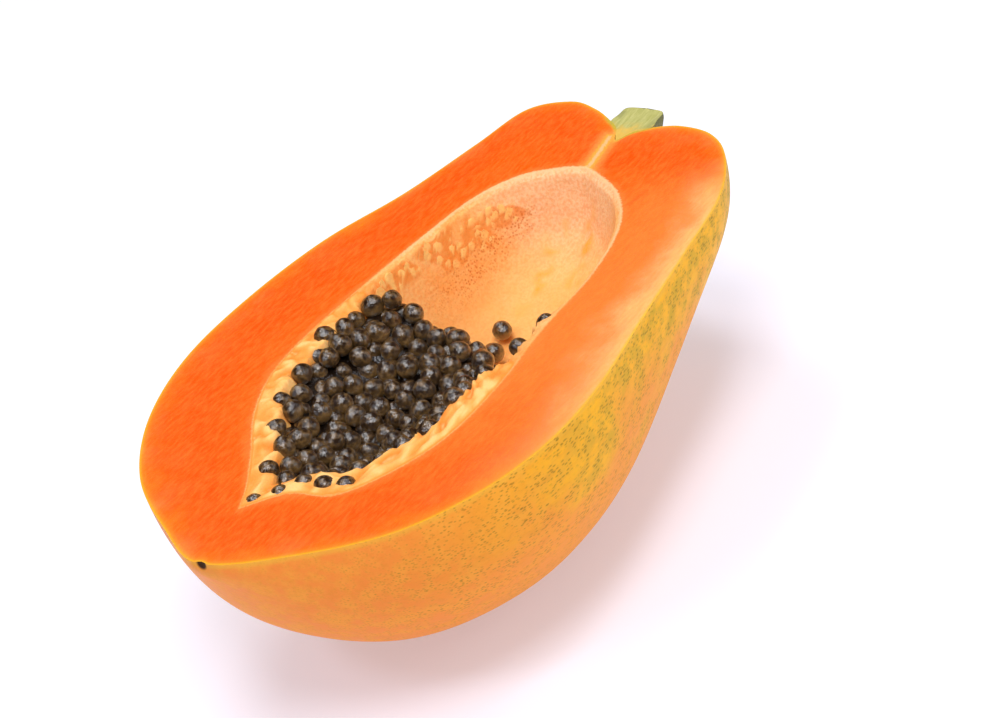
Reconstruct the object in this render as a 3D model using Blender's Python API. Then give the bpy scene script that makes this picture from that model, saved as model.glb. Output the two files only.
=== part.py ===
"""Half of a ripe papaya, cut lengthwise through the stem and lying on its back.

The long axis runs along X with the stem at +X. The cut face is level and looks up, and the fruit rests on
a small flat that its own weight presses into the skin. Y- is the right-hand side seen from the blossom tip.
All shapes are worked out in the fruit's own frame, with X on the long axis and Z zero on the cut face.
"""

import math
import random

import bmesh
import bpy
import numpy as np
from mathutils import Euler, Matrix, Vector, noise

MM = 0.001

# Outlines, in millimetres: distance along the axis from mid-fruit, then distance from the axis.
# Each runs from the bottom of the stem pit, over the shoulder and belly, to the blossom tip.
# Two are the sides of the cut face, and the third is the line straight below the axis.
LEFT_SIDE = (
    (92.5, 0), (98.8, 3.8), (103.0, 8.6), (109.0, 18.0), (112.4, 29.0), (106.5, 42.0), (86.0, 47.2),
    (58.0, 54.6), (31.0, 65.6), (0.0, 70.8), (-30.0, 70.3), (-58.0, 61.2), (-82.0, 44.2), (-99.0, 21.6),
    (-110.0, 0),
)
RIGHT_SIDE = (
    (92.5, 0), (97.4, 3.0), (100.4, 8.4), (102.0, 17.0), (98.6, 29.4), (88.0, 40.6), (68.0, 50.8),
    (40.0, 56.2), (8.0, 61.6), (-22.0, 66.8), (-46.0, 66.8), (-68.0, 60.4), (-88.0, 46.6), (-102.0, 24.0),
    (-110.0, 0),
)
UNDERSIDE = (
    (92.5, 0), (98.2, 3.2), (101.8, 8.8), (105.8, 16.6), (106.6, 26.0), (101.0, 33.4), (88.0, 35.6),
    (66.0, 40.2), (40.0, 55.2), (10.0, 68.8), (-22.0, 69.4), (-50.0, 63.4), (-73.0, 53.4), (-92.0, 35.4),
    (-104.5, 13.0), (-110.0, 0),
)
# Rim of the seed cavity in the cut face, measured in the same way.
RIM_LEFT = (
    (77.6, 1.5), (76.2, 9.5), (70.5, 21.0), (57.0, 29.0), (34.0, 33.0), (8.0, 36.0), (-16.0, 37.6),
    (-34.0, 35.6), (-50.0, 28.6), (-66.0, 17.2), (-79.0, 8.6), (-87.5, 4.6),
)
RIM_RIGHT = (
    (77.6, 1.5), (73.0, -7.0), (64.0, -18.6), (48.0, -28.6), (25.0, -33.8), (0.0, -34.4), (-26.0, -37.0),
    (-48.0, -36.2), (-64.0, -30.4), (-77.0, -20.0), (-79.0, -6.0), (-87.5, 4.6),
)
REST_PRESS = 0.8  # how far its own weight presses the skin flat

# Five blunt ridges run from stem to tip, and the cavity's seed-bearing lines lie midway between them.
RIDGE_COUNT = 5
RIDGE_ANGLE = math.radians(43)
RIDGE_HEIGHT = 0.012  # share of the radius
SEED_LINE_ANGLE = math.radians(7)

# Cavity. Its pale lining is a wide knobbly shelf where seeds sit and a thin rim at the stem end.
CAVITY_CENTRE = (-5.0, 0.0)
CAVITY_DEPTH = 35.0
SHELF_WIDE_LEFT, SHELF_WIDE_RIGHT, SHELF_THIN = 6.0, 9.5, 1.8
SHELF_DROP = 1.4
SHELF_NARROWS, SHELF_NARROWS_SKEW = (-16.0, 6.0), 0.35  # along the axis, and how much later to the left
WALL_SLOPE = 3.0  # steepest fall of the wall below the shelf
KNOB_HEIGHT, KNOB_SPACING = 1.3, 5.0
SEED_LINE_HEIGHT, SEED_LINE_WIDTH = 1.2, math.radians(11)

# Stem stub: stations like those of the sides. Its root fills the pit, a small gap clear of the flesh.
STEM_LEFT = ((93.4, 0), (98.9, 3.2), (103.0, 7.2), (107.0, 7.3), (110.4, 7.0), (110.6, 0))
STEM_RIGHT = ((93.4, 0), (97.6, 2.5), (100.6, 6.2), (105.0, 6.7), (109.0, 6.4), (110.6, 0))

# Seeds, 6 to 7 mm with their jelly coats, packed in the blossom half of the cavity.
SEED_LENGTH, SEED_WIDTH = 7.4, 6.5
SEED_SPREAD = 0.09
SEED_SPACING = 5.6
SEED_ROUND, SEED_TALL = 7, 4  # facets around a seed and along it
SEED_BED_X = (-87.0, 30.0)
SEED_BED_Y = 36.0
# The outermost seeds' centres are this far in from the rim: on the left, on the right and at the tip.
SEED_EDGE_LEFT, SEED_EDGE_RIGHT, SEED_EDGE_TIP = (4.2, 7.0), (8.0, 11.0), 2.0
SEED_UNEVEN = 1.3  # seeds stand above or below the heap's surface by up to this much
HEAP_EDGE_DEPTH, HEAP_DISH, HEAP_DISH_REACH = 2.4, 9.0, (7.0, 27.0)
HEAP_FRONT, HEAP_FRONT_BEND, HEAP_FRONT_SLOPE = (9.2, 12.0), 0.022, 2.4
HEAP_CORE_BELOW = 2.5  # the packed mass below the seeds' centres
SEED_TRIES = 14000
RANDOM_SEED = 11
CLEAR = 0.4  # gap between the seeds and the lining
# Seeds that lie alone: along the axis, across it, and the centre's depth or None to lie on the floor.
STRAY_SEEDS = ((32.6, 10.8, None), (23.6, 8.6, None), (-4.4, -28.4, 3.8), (7.4, -29.2, 4.2))

# Mesh density.
LENGTH_STEPS = 60
SKIN_STEPS = 28
FACE_RINGS = 4
SHELF_RINGS = (2.0, 4.0, 6.0, 8.0, 10.0, 12.5)
WALL_RINGS = (0.08, 0.20, 0.36, 0.55, 0.76)
STEM_STEPS = 12
STEM_AROUND = 10
HEAP_STEP = 6.5


def clear_scene():
    for old in list(bpy.data.objects):
        bpy.data.objects.remove(old)


def smoothstep(low, high, value):
    share = min(1.0, max(0.0, (value - low) / (high - low)))
    return share * share * (3 - 2 * share)


def mix(first, second, share):
    return first + (second - first) * share


def even_curve(stations, count, mirrored_ends=True):
    """A smooth curve through the stations, as count + 1 points evenly spaced along it."""
    points = [Vector(s) for s in stations]
    if mirrored_ends:  # the curve crosses the axis squarely at both ends
        before = Vector((points[1].x, -points[1].y))
        after = Vector((points[-2].x, -points[-2].y))
    else:
        before = 2 * points[0] - points[1]
        after = 2 * points[-1] - points[-2]
    run = [before, *points, after]
    fine = []
    for a, b, c, d in zip(run, run[1:], run[2:], run[3:]):
        for step in range(16):
            t = step / 16
            fine.append(
                0.5 * (2 * b + (c - a) * t + (2 * a - 5 * b + 4 * c - d) * t**2 + (3 * b - a - 3 * c + d) * t**3)
            )
    fine.append(points[-1])
    reach = np.cumsum([0.0, *((b - a).length for a, b in zip(fine, fine[1:]))])
    wanted = np.linspace(0.0, reach[-1], count + 1)
    along = np.interp(wanted, reach, [p.x for p in fine])
    across = np.interp(wanted, reach, [p.y for p in fine])
    return [Vector(pair) for pair in zip(along, across)]


def turned(outlines, row, angle, ridge=0.0):
    """A point of a half body: left outline at angle 0, underside at a quarter turn, right at half a turn."""
    left, right, under = outlines
    across, down = math.cos(angle), math.sin(angle)
    side = left if across > 0 else right
    along = side[row].x * across**2 + under[row].x * down**2
    swell = 1 + ridge * down * math.cos(RIDGE_COUNT * (angle - RIDGE_ANGLE))
    return Vector((along, side[row].y * across * swell, -under[row].y * down * swell))


class Cavity:
    """The hollow for the seeds: its rim, and its depth at any place inside the rim."""

    def __init__(self):
        left = even_curve(RIM_LEFT, LENGTH_STEPS, mirrored_ends=False)
        right = even_curve(RIM_RIGHT, LENGTH_STEPS, mirrored_ends=False)
        self.rim = left + right[-2:0:-1]
        self.centre = Vector(CAVITY_CENTRE)
        spokes = [p - self.centre for p in self.rim]
        angles = [math.atan2(s.y, s.x) for s in spokes]
        order = np.argsort(angles)
        self.angles = np.array(angles)[order]
        self.reaches = np.array([s.length for s in spokes])[order]
        self.starts = np.array(self.rim)
        self.runs = np.roll(self.starts, -1, axis=0) - self.starts

    def reach(self, place):
        """Distance from the centre to the rim, in the direction of a place."""
        spoke = place - self.centre
        return float(np.interp(math.atan2(spoke.y, spoke.x), self.angles, self.reaches, period=2 * math.pi))

    def inset(self, place):
        """How far in from the nearest part of the rim a place is."""
        if (place - self.centre).length >= self.reach(place):
            return 0.0
        away = np.array(place) - self.starts
        share = np.clip((away * self.runs).sum(1) / (self.runs**2).sum(1), 0.0, 1.0)
        return float(np.sqrt(((away - share[:, None] * self.runs) ** 2).sum(1)).min())

    def thinness(self, place):
        """0 where the shelf is wide, 1 where it is thin."""
        return smoothstep(*SHELF_NARROWS, place.x - SHELF_NARROWS_SKEW * place.y)

    def shelf(self, place):
        """Width of the shelf."""
        wide = mix(SHELF_WIDE_RIGHT, SHELF_WIDE_LEFT, smoothstep(-16, 8, place.y))
        return mix(wide, SHELF_THIN, self.thinness(place))

    def depth(self, place):
        """Depth of the smooth lining below the cut face."""
        inset = self.inset(place)
        shelf = self.shelf(place)
        if inset <= shelf:
            return SHELF_DROP * inset / shelf
        outward = (place - self.centre).length / (self.reach(place) - shelf)
        bowl = (CAVITY_DEPTH - SHELF_DROP) * math.sqrt(max(0.0, 1 - min(1.0, outward) ** 2.2))
        return SHELF_DROP + min(bowl, WALL_SLOPE * (inset - shelf))

    def relief(self, place, depth):
        """Height of the knobs on the shelf and along the seed-bearing lines."""
        inset = self.inset(place)
        if inset <= 0:
            return 0.0
        bump = noise.noise(Vector((place.x, place.y, depth)) / KNOB_SPACING)
        on_shelf = smoothstep(0, 2, inset) * (1 - smoothstep(7, 12, inset)) * (1 - 0.85 * self.thinness(place))
        angle = math.atan2(depth, place.y)
        lines = sum(
            math.exp(-(((angle - SEED_LINE_ANGLE - turn * 2 * math.pi / RIDGE_COUNT) / SEED_LINE_WIDTH) ** 2))
            for turn in range(3)
        )
        in_wall = smoothstep(2, 6, inset) * (1 - smoothstep(52, 70, place.x))
        return KNOB_HEIGHT * on_shelf * bump + SEED_LINE_HEIGHT * in_wall * lines * (0.6 + bump)

    def point(self, place):
        depth = self.depth(place)
        return Vector((place.x, place.y, -max(0.0, depth - self.relief(place, depth))))

    def rings(self):
        """Rings of points from the rim towards the centre, which is left out."""
        made = [[Vector((p.x, p.y, 0.0)) for p in self.rim]]
        for inset in SHELF_RINGS:
            made.append([self.point(p + (self.centre - p).normalized() * inset) for p in self.rim])
        for share in WALL_RINGS:
            ring = []
            for p in self.rim:
                start = p + (self.centre - p).normalized() * SHELF_RINGS[-1]
                ring.append(self.point(start.lerp(self.centre, share)))
            made.append(ring)
        return made


def finish(name):
    """Principled finish of each piece: colour, roughness and metallic value."""
    colour, roughness = {
        "flesh": ((0.94, 0.22, 0.035, 1), 0.42),
        "stem": ((0.50, 0.52, 0.16, 1), 0.65),
        "seed": ((0.035, 0.02, 0.012, 1), 0.22),
    }[name]
    material = bpy.data.materials.get(name) or bpy.data.materials.new(name)
    material.use_nodes = True
    shader = material.node_tree.nodes["Principled BSDF"]
    shader.inputs["Base Color"].default_value = colour
    shader.inputs["Roughness"].default_value = roughness
    shader.inputs["Metallic"].default_value = 0.0
    return material


def piece(name, bm, look, parent):
    """A named object in metres from a mesh worked out in millimetres."""
    bmesh.ops.recalc_face_normals(bm, faces=bm.faces)
    bmesh.ops.scale(bm, vec=(MM, MM, MM), verts=bm.verts)
    mesh = bpy.data.meshes.new(name)
    bm.to_mesh(mesh)
    bm.free()
    mesh.shade_smooth()
    mesh.set_sharp_from_angle(angle=math.radians(50))
    mesh.materials.append(finish(look))
    made = bpy.data.objects.new(name, mesh)
    bpy.context.scene.collection.objects.link(made)
    made.parent = parent
    return made


def band(bm, outer, inner):
    """Faces between two closed rings of vertices with equal counts."""
    count = len(outer)
    for k in range(count):
        after = (k + 1) % count
        bm.faces.new((outer[k], outer[after], inner[after], inner[k]))


def fan(bm, ring, hub):
    for k, vertex in enumerate(ring):
        bm.faces.new((vertex, ring[(k + 1) % len(ring)], hub))


def half_skin(bm, outlines, around, ridge, pressed=0.0):
    """The turned underside of a half body. Returns its edge loop, which lies in the cut."""
    last = len(outlines[0]) - 1
    rows = []
    for row in range(1, last):
        fade = math.sin(math.pi * row / last)
        points = [turned(outlines, row, math.pi * k / around, ridge * fade) for k in range(around + 1)]
        points[0].z = points[-1].z = 0.0
        rows.append([bm.verts.new(p) for p in points])
    floor = min(v.co.z for row in rows for v in row) + pressed
    for v in [v for row in rows for v in row]:
        v.co.z = max(v.co.z, floor)
    near = bm.verts.new((outlines[0][0].x, 0, 0))
    far = bm.verts.new((outlines[0][-1].x, 0, 0))
    for a, b in zip(rows, rows[1:]):
        for k in range(around):
            bm.faces.new((a[k], b[k], b[k + 1], a[k + 1]))
    for k in range(around):
        bm.faces.new((near, rows[0][k], rows[0][k + 1]))
        bm.faces.new((far, rows[-1][k + 1], rows[-1][k]))
    return [near] + [row[0] for row in rows] + [far] + [row[-1] for row in reversed(rows)]


def half_fruit(cavity, parent):
    """Skin, flesh and lining grew as one piece, so they are one solid."""
    outlines = [even_curve(side, LENGTH_STEPS) for side in (LEFT_SIDE, RIGHT_SIDE, UNDERSIDE)]
    bm = bmesh.new()
    edge = half_skin(bm, outlines, SKIN_STEPS, RIDGE_HEIGHT, pressed=REST_PRESS)
    rings = cavity.rings()
    outer = edge
    for step in range(1, FACE_RINGS + 1):
        share = step / FACE_RINGS
        inner = [bm.verts.new(a.co.lerp(b, share)) for a, b in zip(edge, rings[0])]
        band(bm, outer, inner)
        outer = inner
    for ring in rings[1:]:
        inner = [bm.verts.new(p) for p in ring]
        band(bm, outer, inner)
        outer = inner
    fan(bm, outer, bm.verts.new(cavity.point(cavity.centre)))
    return piece("half_fruit", bm, "flesh", parent)


def stem_stub(parent):
    """The stalk, snapped off short and halved by the cut, with its root in the stem pit."""
    left, right = [even_curve(side, STEM_STEPS, mirrored_ends=False) for side in (STEM_LEFT, STEM_RIGHT)]
    bm = bmesh.new()
    edge = half_skin(bm, (left, right, right), STEM_AROUND, 0.0)
    bm.faces.new(edge)
    bmesh.ops.triangulate(bm, faces=[f for f in bm.faces if len(f.verts) > 4])
    return piece("stem_stub", bm, "stem", parent)


def heap_depth(cavity, place):
    """Depth of the seeds' centres: a dish that drops away steeply at its bowed front."""
    dish = HEAP_EDGE_DEPTH + HEAP_DISH * smoothstep(*HEAP_DISH_REACH, cavity.inset(place))
    front = HEAP_FRONT[0] - HEAP_FRONT_BEND * max(0.0, HEAP_FRONT[1] - place.y) ** 2
    return dish + HEAP_FRONT_SLOPE * max(0.0, place.x - front)


def core_depth(cavity, place):
    """Depth of the packed mass, which lies an even distance below the seeds' centres."""
    depth = heap_depth(cavity, place)
    along = heap_depth(cavity, place + Vector((1, 0))) - depth
    across = heap_depth(cavity, place + Vector((0, 1))) - depth
    return depth + HEAP_CORE_BELOW * math.sqrt(1 + along**2 + across**2)


def seed_places(cavity):
    """Centres of the heaped seeds, drawn at random and kept one seed apart."""
    draw = random.Random(RANDOM_SEED)
    kept = []
    for _ in range(SEED_TRIES):
        place = Vector((draw.uniform(*SEED_BED_X), draw.uniform(-SEED_BED_Y, SEED_BED_Y)))
        edge = draw.uniform(*(SEED_EDGE_LEFT if place.y > -2 else SEED_EDGE_RIGHT))
        edge = mix(edge, SEED_EDGE_TIP, smoothstep(62, 78, -place.x))
        if cavity.inset(place) < edge:
            continue
        depth = heap_depth(cavity, place) + draw.uniform(-SEED_UNEVEN, SEED_UNEVEN)
        if depth > cavity.depth(place) - SEED_WIDTH / 4 and cavity.inset(place) > cavity.shelf(place):
            continue
        centre = Vector((place.x, place.y, -depth))
        if all((centre - other).length > SEED_SPACING for other in kept):
            kept.append(centre)
    return kept


def seed(bm, centre, draw):
    """One seed: a small egg lying any way round."""
    size = 1 + draw.uniform(-SEED_SPREAD, SEED_SPREAD)
    turn = Euler([draw.uniform(0, 2 * math.pi) for _ in range(3)]).to_matrix().to_4x4()
    shape = Matrix.Diagonal((SEED_WIDTH / 2 * size, SEED_WIDTH / 2 * size, SEED_LENGTH / 2 * size, 1))
    place = Matrix.Translation(centre) @ turn @ shape
    bmesh.ops.create_uvsphere(bm, u_segments=SEED_ROUND, v_segments=SEED_TALL, radius=1, matrix=place)


def heap_core(cavity):
    """The packed mass under the seeds: a block whose top follows the heap, to be trimmed to the cavity."""
    bm = bmesh.new()
    columns = int((SEED_BED_X[1] - SEED_BED_X[0]) / HEAP_STEP)
    rows = int(2 * (SEED_BED_Y + HEAP_STEP) / HEAP_STEP)
    bmesh.ops.create_grid(bm, x_segments=columns, y_segments=rows, size=0.5)
    width, height = SEED_BED_X[1] - SEED_BED_X[0], 2 * (SEED_BED_Y + HEAP_STEP)
    for v in bm.verts:
        v.co.x = sum(SEED_BED_X) / 2 + v.co.x * width
        v.co.y = v.co.y * height
        v.co.z = -min(core_depth(cavity, v.co.xy), 1.5 * CAVITY_DEPTH)
    top = list(bm.faces)
    sides = bmesh.ops.extrude_face_region(bm, geom=top)
    for item in sides["geom"]:
        if isinstance(item, bmesh.types.BMVert):
            item.co.z = -2 * CAVITY_DEPTH
    return bm


def cavity_room(cavity):
    """The space inside the lining, a small gap clear of it, open a little way above the cut."""
    bm = bmesh.new()
    rings = [[bm.verts.new(p) for p in ring] for ring in cavity.rings()]
    for outer, inner in zip(rings, rings[1:]):
        band(bm, outer, inner)
    fan(bm, rings[-1], bm.verts.new(cavity.point(cavity.centre)))
    bmesh.ops.recalc_face_normals(bm, faces=bm.faces)
    bm.normal_update()
    inward = 1 if rings[-1][0].normal.z > 0 else -1
    for v in bm.verts:
        v.co += inward * CLEAR * 1.35 * v.normal
    lid = []
    for v in rings[0]:
        v.co.z = 0.0
        pulled = v.co.xy.lerp(cavity.centre, CLEAR * 1.35 / (v.co.xy - cavity.centre).length)
        v.co.x, v.co.y = pulled
        lid.append(bm.verts.new((v.co.x, v.co.y, 12.0)))
    band(bm, rings[0], lid)
    bm.faces.new(lid)
    return bm


def only_largest_body(made):
    """Drops the loose scraps that trimming leaves."""
    bm = bmesh.new()
    bm.from_mesh(made.data)
    left_over = set(bm.verts)
    bodies = []
    while left_over:
        body, front = set(), [left_over.pop()]
        while front:
            vertex = front.pop()
            body.add(vertex)
            near = {e.other_vert(vertex) for e in vertex.link_edges} & left_over
            left_over -= near
            front.extend(near)
        bodies.append(body)
    largest = max(bodies, key=len)
    bmesh.ops.delete(bm, geom=[v for v in bm.verts if v not in largest], context="VERTS")
    bm.to_mesh(made.data)
    bm.free()


def apply_boolean(made, operation, **operand):
    cut = made.modifiers.new(operation.lower(), "BOOLEAN")
    cut.operation = operation
    cut.solver = "MANIFOLD"  # keeps hundreds of packed seeds closed
    for key, value in operand.items():
        setattr(cut, key, value)
    graph = bpy.context.evaluated_depsgraph_get()
    mesh = bpy.data.meshes.new_from_object(made.evaluated_get(graph))
    made.modifiers.clear()
    made.data = mesh


def seed_cluster(cavity, room, parent):
    """Every heaped seed fused to the packed mass that it stands out of, and trimmed clear of the lining."""
    made = piece("seed_cluster", heap_core(cavity), "seed", parent)
    draw = random.Random(RANDOM_SEED + 1)
    single = bpy.data.collections.new("single_seeds")
    bpy.context.scene.collection.children.link(single)
    for number, centre in enumerate(seed_places(cavity)):
        bm = bmesh.new()
        seed(bm, centre, draw)
        one = piece(f"heaped_{number}", bm, "seed", parent)
        bpy.context.scene.collection.objects.unlink(one)
        single.objects.link(one)
    apply_boolean(made, "UNION", operand_type="COLLECTION", collection=single)
    apply_boolean(made, "INTERSECT", object=room)
    for one in list(single.objects):
        bpy.data.objects.remove(one)
    bpy.data.collections.remove(single)
    only_largest_body(made)
    return made


def stray_seeds(cavity, room, parent):
    """Seeds that lie alone on the lining or are pressed into it, each a small gap clear of it."""
    draw = random.Random(RANDOM_SEED + 2)
    for number, (along, across, depth) in enumerate(STRAY_SEEDS, start=1):
        bm = bmesh.new()
        seed(bm, Vector((along, across, -(depth or 0.0))), draw)
        if depth is None:
            lift = max(cavity.point(v.co.xy).z - v.co.z for v in bm.verts)
            bmesh.ops.translate(bm, vec=(0, 0, lift + CLEAR), verts=bm.verts)
        one = piece(f"stray_seed_{number}", bm, "seed", parent)
        apply_boolean(one, "INTERSECT", object=room)


def stand_on_origin(root):
    """Puts the middle of the object's footprint at the origin, with its lowest point at zero."""
    corners = [root.matrix_world @ v.co for child in root.children for v in child.data.vertices]
    low = Vector([min(c[axis] for c in corners) for axis in range(3)])
    high = Vector([max(c[axis] for c in corners) for axis in range(3)])
    root.location = (-(low.x + high.x) / 2, -(low.y + high.y) / 2, -low.z)


def main():
    clear_scene()
    root = bpy.data.objects.new("papaya", None)
    bpy.context.scene.collection.objects.link(root)
    cavity = Cavity()
    half_fruit(cavity, root)
    stem_stub(root)
    room = piece("cavity_room", cavity_room(cavity), "seed", root)
    seed_cluster(cavity, room, root)
    stray_seeds(cavity, room, root)
    bpy.data.objects.remove(room)
    stand_on_origin(root)


main()
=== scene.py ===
# %% [markdown]
# # Half of a ripe papaya
# This notebook dresses a plain solid model of a papaya half until it looks like the fruit on a table.
# The solid model fixes the size and the place of everything. Each step below first says what the real
# thing is, how it could be made, and why this way was chosen. Lengths are worked out in millimetres, in
# the fruit's own frame: X along the axis towards the stem, Z zero on the cut face.

# %% Load the solid model
import math
import random

import bmesh
import bpy
import numpy as np
from mathutils import Euler, Matrix, Vector, noise


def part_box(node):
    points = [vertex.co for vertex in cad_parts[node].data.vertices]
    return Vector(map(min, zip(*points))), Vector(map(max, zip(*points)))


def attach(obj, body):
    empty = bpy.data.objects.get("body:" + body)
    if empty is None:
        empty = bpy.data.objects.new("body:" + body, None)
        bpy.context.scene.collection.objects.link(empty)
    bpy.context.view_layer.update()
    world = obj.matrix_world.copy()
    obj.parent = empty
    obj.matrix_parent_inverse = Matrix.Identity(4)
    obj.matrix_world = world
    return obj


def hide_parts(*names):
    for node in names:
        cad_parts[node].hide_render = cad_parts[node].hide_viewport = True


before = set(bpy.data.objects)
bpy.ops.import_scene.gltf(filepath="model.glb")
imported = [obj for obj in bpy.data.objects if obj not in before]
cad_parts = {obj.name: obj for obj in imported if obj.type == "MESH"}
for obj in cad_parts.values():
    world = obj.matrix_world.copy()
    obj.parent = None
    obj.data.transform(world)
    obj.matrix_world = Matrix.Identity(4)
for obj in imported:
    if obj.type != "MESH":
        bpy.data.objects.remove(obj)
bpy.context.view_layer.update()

# %% [markdown]
# ## The fruit's own frame
# Everything below is measured from one spot, the middle of the cut face's axis. The solid model's box
# gives that spot, since the fruit's outline is known.

# %% Find the middle of the cut face
MM = 0.001
HALF_LENGTH = (-110.0, 112.44)  # blossom tip and left shoulder, from the middle
HALF_WIDTH = (-67.52, 71.44)
fruit_low, fruit_high = [Vector(corner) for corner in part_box("half_fruit")]
ORIGIN = Vector((
    (fruit_low.x + fruit_high.x) / 2 - MM * sum(HALF_LENGTH) / 2,
    (fruit_low.y + fruit_high.y) / 2 - MM * sum(HALF_WIDTH) / 2,
    fruit_high.z,
))
REST_LEVEL = -(fruit_high.z - fruit_low.z) / MM  # the table, below the cut face
print("mid-axis of the cut face:", [round(v, 5) for v in ORIGIN])

# %% [markdown]
# ## Camera
# The cut face makes a good ruler: its outline, and the line from the blossom scar to the stalk, fix how
# the lens saw the fruit. The camera is placed with three directions of its own, right, up and back, so
# that the fruit leans across the picture. The lens is a long one, as used for food on white.

# %% Set the camera
SENSOR_WIDTH, LENS_LENGTH = 36.0, 111.66  # millimetres
EYE = (-525.0, -522.01, 405.13)
TO_RIGHT = (0.53721, -0.79330, -0.28649)
TO_TOP = (0.56644, 0.08766, 0.81943)
TO_BACK = (-0.62494, -0.60249, 0.49645)
FAR_END = 20.0  # metres, past which nothing is drawn

lens = bpy.data.cameras.new("camera")
lens.sensor_width = SENSOR_WIDTH
lens.lens = LENS_LENGTH
lens.clip_end = FAR_END
camera = bpy.data.objects.new("camera", lens)
bpy.context.scene.collection.objects.link(camera)
turn = Matrix((TO_RIGHT, TO_TOP, TO_BACK)).transposed().to_4x4()
camera.matrix_world = Matrix.Translation(ORIGIN + MM * Vector(EYE)) @ turn
bpy.context.scene.camera = camera
print("camera to fruit, metres:", round(MM * Vector(EYE).length, 3))

# %% [markdown]
# ## Outlines of the fruit
# A papaya is turned by nature rather than by a lathe: it is longer on one shoulder, and blunter below.
# Three outlines carry the shape, two in the cut face and one straight below the axis. They are smooth
# curves through a few stations, the same ones that the solid model uses, so that both agree.

# %% Stations of the outlines
LEFT_SIDE = (
    (92.5, 0), (98.8, 3.8), (103.0, 8.6), (109.0, 18.0), (112.4, 29.0), (106.5, 42.0), (86.0, 47.2),
    (58.0, 54.6), (31.0, 65.6), (0.0, 70.8), (-30.0, 70.3), (-58.0, 61.2), (-82.0, 44.2), (-99.0, 21.6),
    (-110.0, 0),
)
RIGHT_SIDE = (
    (92.5, 0), (97.4, 3.0), (100.4, 8.4), (102.0, 17.0), (98.6, 29.4), (88.0, 40.6), (68.0, 50.8),
    (40.0, 56.2), (8.0, 61.6), (-22.0, 66.8), (-46.0, 66.8), (-68.0, 60.4), (-88.0, 46.6), (-102.0, 24.0),
    (-110.0, 0),
)
UNDERSIDE = (
    (92.5, 0), (98.2, 3.2), (101.8, 8.8), (105.8, 16.6), (106.6, 26.0), (101.0, 33.4), (88.0, 35.6),
    (66.0, 40.2), (40.0, 55.2), (10.0, 68.8), (-22.0, 69.4), (-50.0, 63.4), (-73.0, 53.4), (-92.0, 35.4),
    (-104.5, 13.0), (-110.0, 0),
)
print("outlines:", len(LEFT_SIDE), len(RIGHT_SIDE), len(UNDERSIDE), "stations")

# %% Smooth curves through stations
STEPS_BETWEEN = 16
RIDGE_COUNT, RIDGE_HEIGHT = 5, 0.012  # a papaya has five faint ridges, here of 1.2% of the radius
RIDGE_ANGLE = math.radians(43)


def mix(first, second, share):
    return first + (second - first) * share


def smoothstep(low, high, value):
    share = min(1.0, max(0.0, (value - low) / (high - low)))
    return share * share * (3 - 2 * share)


def even_curve(stations, count, mirrored_ends=True):
    """A smooth curve through the stations, as count + 1 points evenly spaced along it."""
    points = [Vector(s) for s in stations]
    if mirrored_ends:
        before = Vector((points[1].x, -points[1].y))
        after = Vector((points[-2].x, -points[-2].y))
    else:
        before = 2 * points[0] - points[1]
        after = 2 * points[-1] - points[-2]
    run = [before, *points, after]
    fine = []
    for a, b, c, d in zip(run, run[1:], run[2:], run[3:]):
        pull, bend, twist = c - a, 2 * a - 5 * b + 4 * c - d, 3 * b - a - 3 * c + d
        for step in range(STEPS_BETWEEN):
            t = step / STEPS_BETWEEN
            fine.append(0.5 * (2 * b + pull * t + bend * t**2 + twist * t**3))
    fine.append(points[-1])
    reach = np.cumsum([0.0, *((b - a).length for a, b in zip(fine, fine[1:]))])
    wanted = np.linspace(0.0, reach[-1], count + 1)
    along = np.interp(wanted, reach, [p.x for p in fine])
    across = np.interp(wanted, reach, [p.y for p in fine])
    return [Vector(pair) for pair in zip(along, across)]


def turned(outlines, row, angle, ridge=0.0):
    """A point of a half body: left outline at angle 0, underside at a quarter turn, right at half a turn."""
    left, right, under = outlines
    across, down = math.cos(angle), math.sin(angle)
    side = left if across > 0 else right
    along = side[row].x * across**2 + under[row].x * down**2
    swell = 1 + ridge * down * math.cos(RIDGE_COUNT * (angle - RIDGE_ANGLE))
    return Vector((along, side[row].y * across * swell, -under[row].y * down * swell))


print("length of the left outline, mm:", round(sum(
    (b - a).length for a, b in zip(even_curve(LEFT_SIDE, 60), even_curve(LEFT_SIDE, 60)[1:]))))

# %% [markdown]
# ## The seed cavity
# The hollow is a bowl whose rim was left by the knife. Where seeds grow, a knobbly pale fringe stands
# between flesh and seeds, so the lining first runs level as a shelf and then drops away. Towards the
# stem the shelf is thin. A height field over the cut face says all this with two numbers for a place:
# its distance from the rim, and how far along the spoke from the cavity's middle it lies.

# %% Rim, shelf and depth of the cavity
RIM_LEFT = (
    (77.6, 1.5), (76.2, 9.5), (70.5, 21.0), (57.0, 29.0), (34.0, 33.0), (8.0, 36.0), (-16.0, 37.6),
    (-34.0, 35.6), (-50.0, 28.6), (-66.0, 17.2), (-79.0, 8.6), (-87.5, 4.6),
)
RIM_RIGHT = (
    (77.6, 1.5), (73.0, -7.0), (64.0, -18.6), (48.0, -28.6), (25.0, -33.8), (0.0, -34.4), (-26.0, -37.0),
    (-48.0, -36.2), (-64.0, -30.4), (-77.0, -20.0), (-79.0, -6.0), (-87.5, 4.6),
)
RIM_STEPS = 60
CAVITY_CENTRE = (-5.0, 0.0)
CAVITY_DEPTH = 35.0
SHELF_WIDE_LEFT, SHELF_WIDE_RIGHT, SHELF_THIN = 6.0, 9.5, 1.8
SHELF_LEFT_TO_RIGHT = (-16, 8)
SHELF_DROP = 1.4
SHELF_NARROWS, SHELF_NARROWS_SKEW = (-16.0, 6.0), 0.35
WALL_SLOPE = 3.0
BOWL_POWER = 2.2  # 2 makes the bowl round, and more makes its floor flatter


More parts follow.
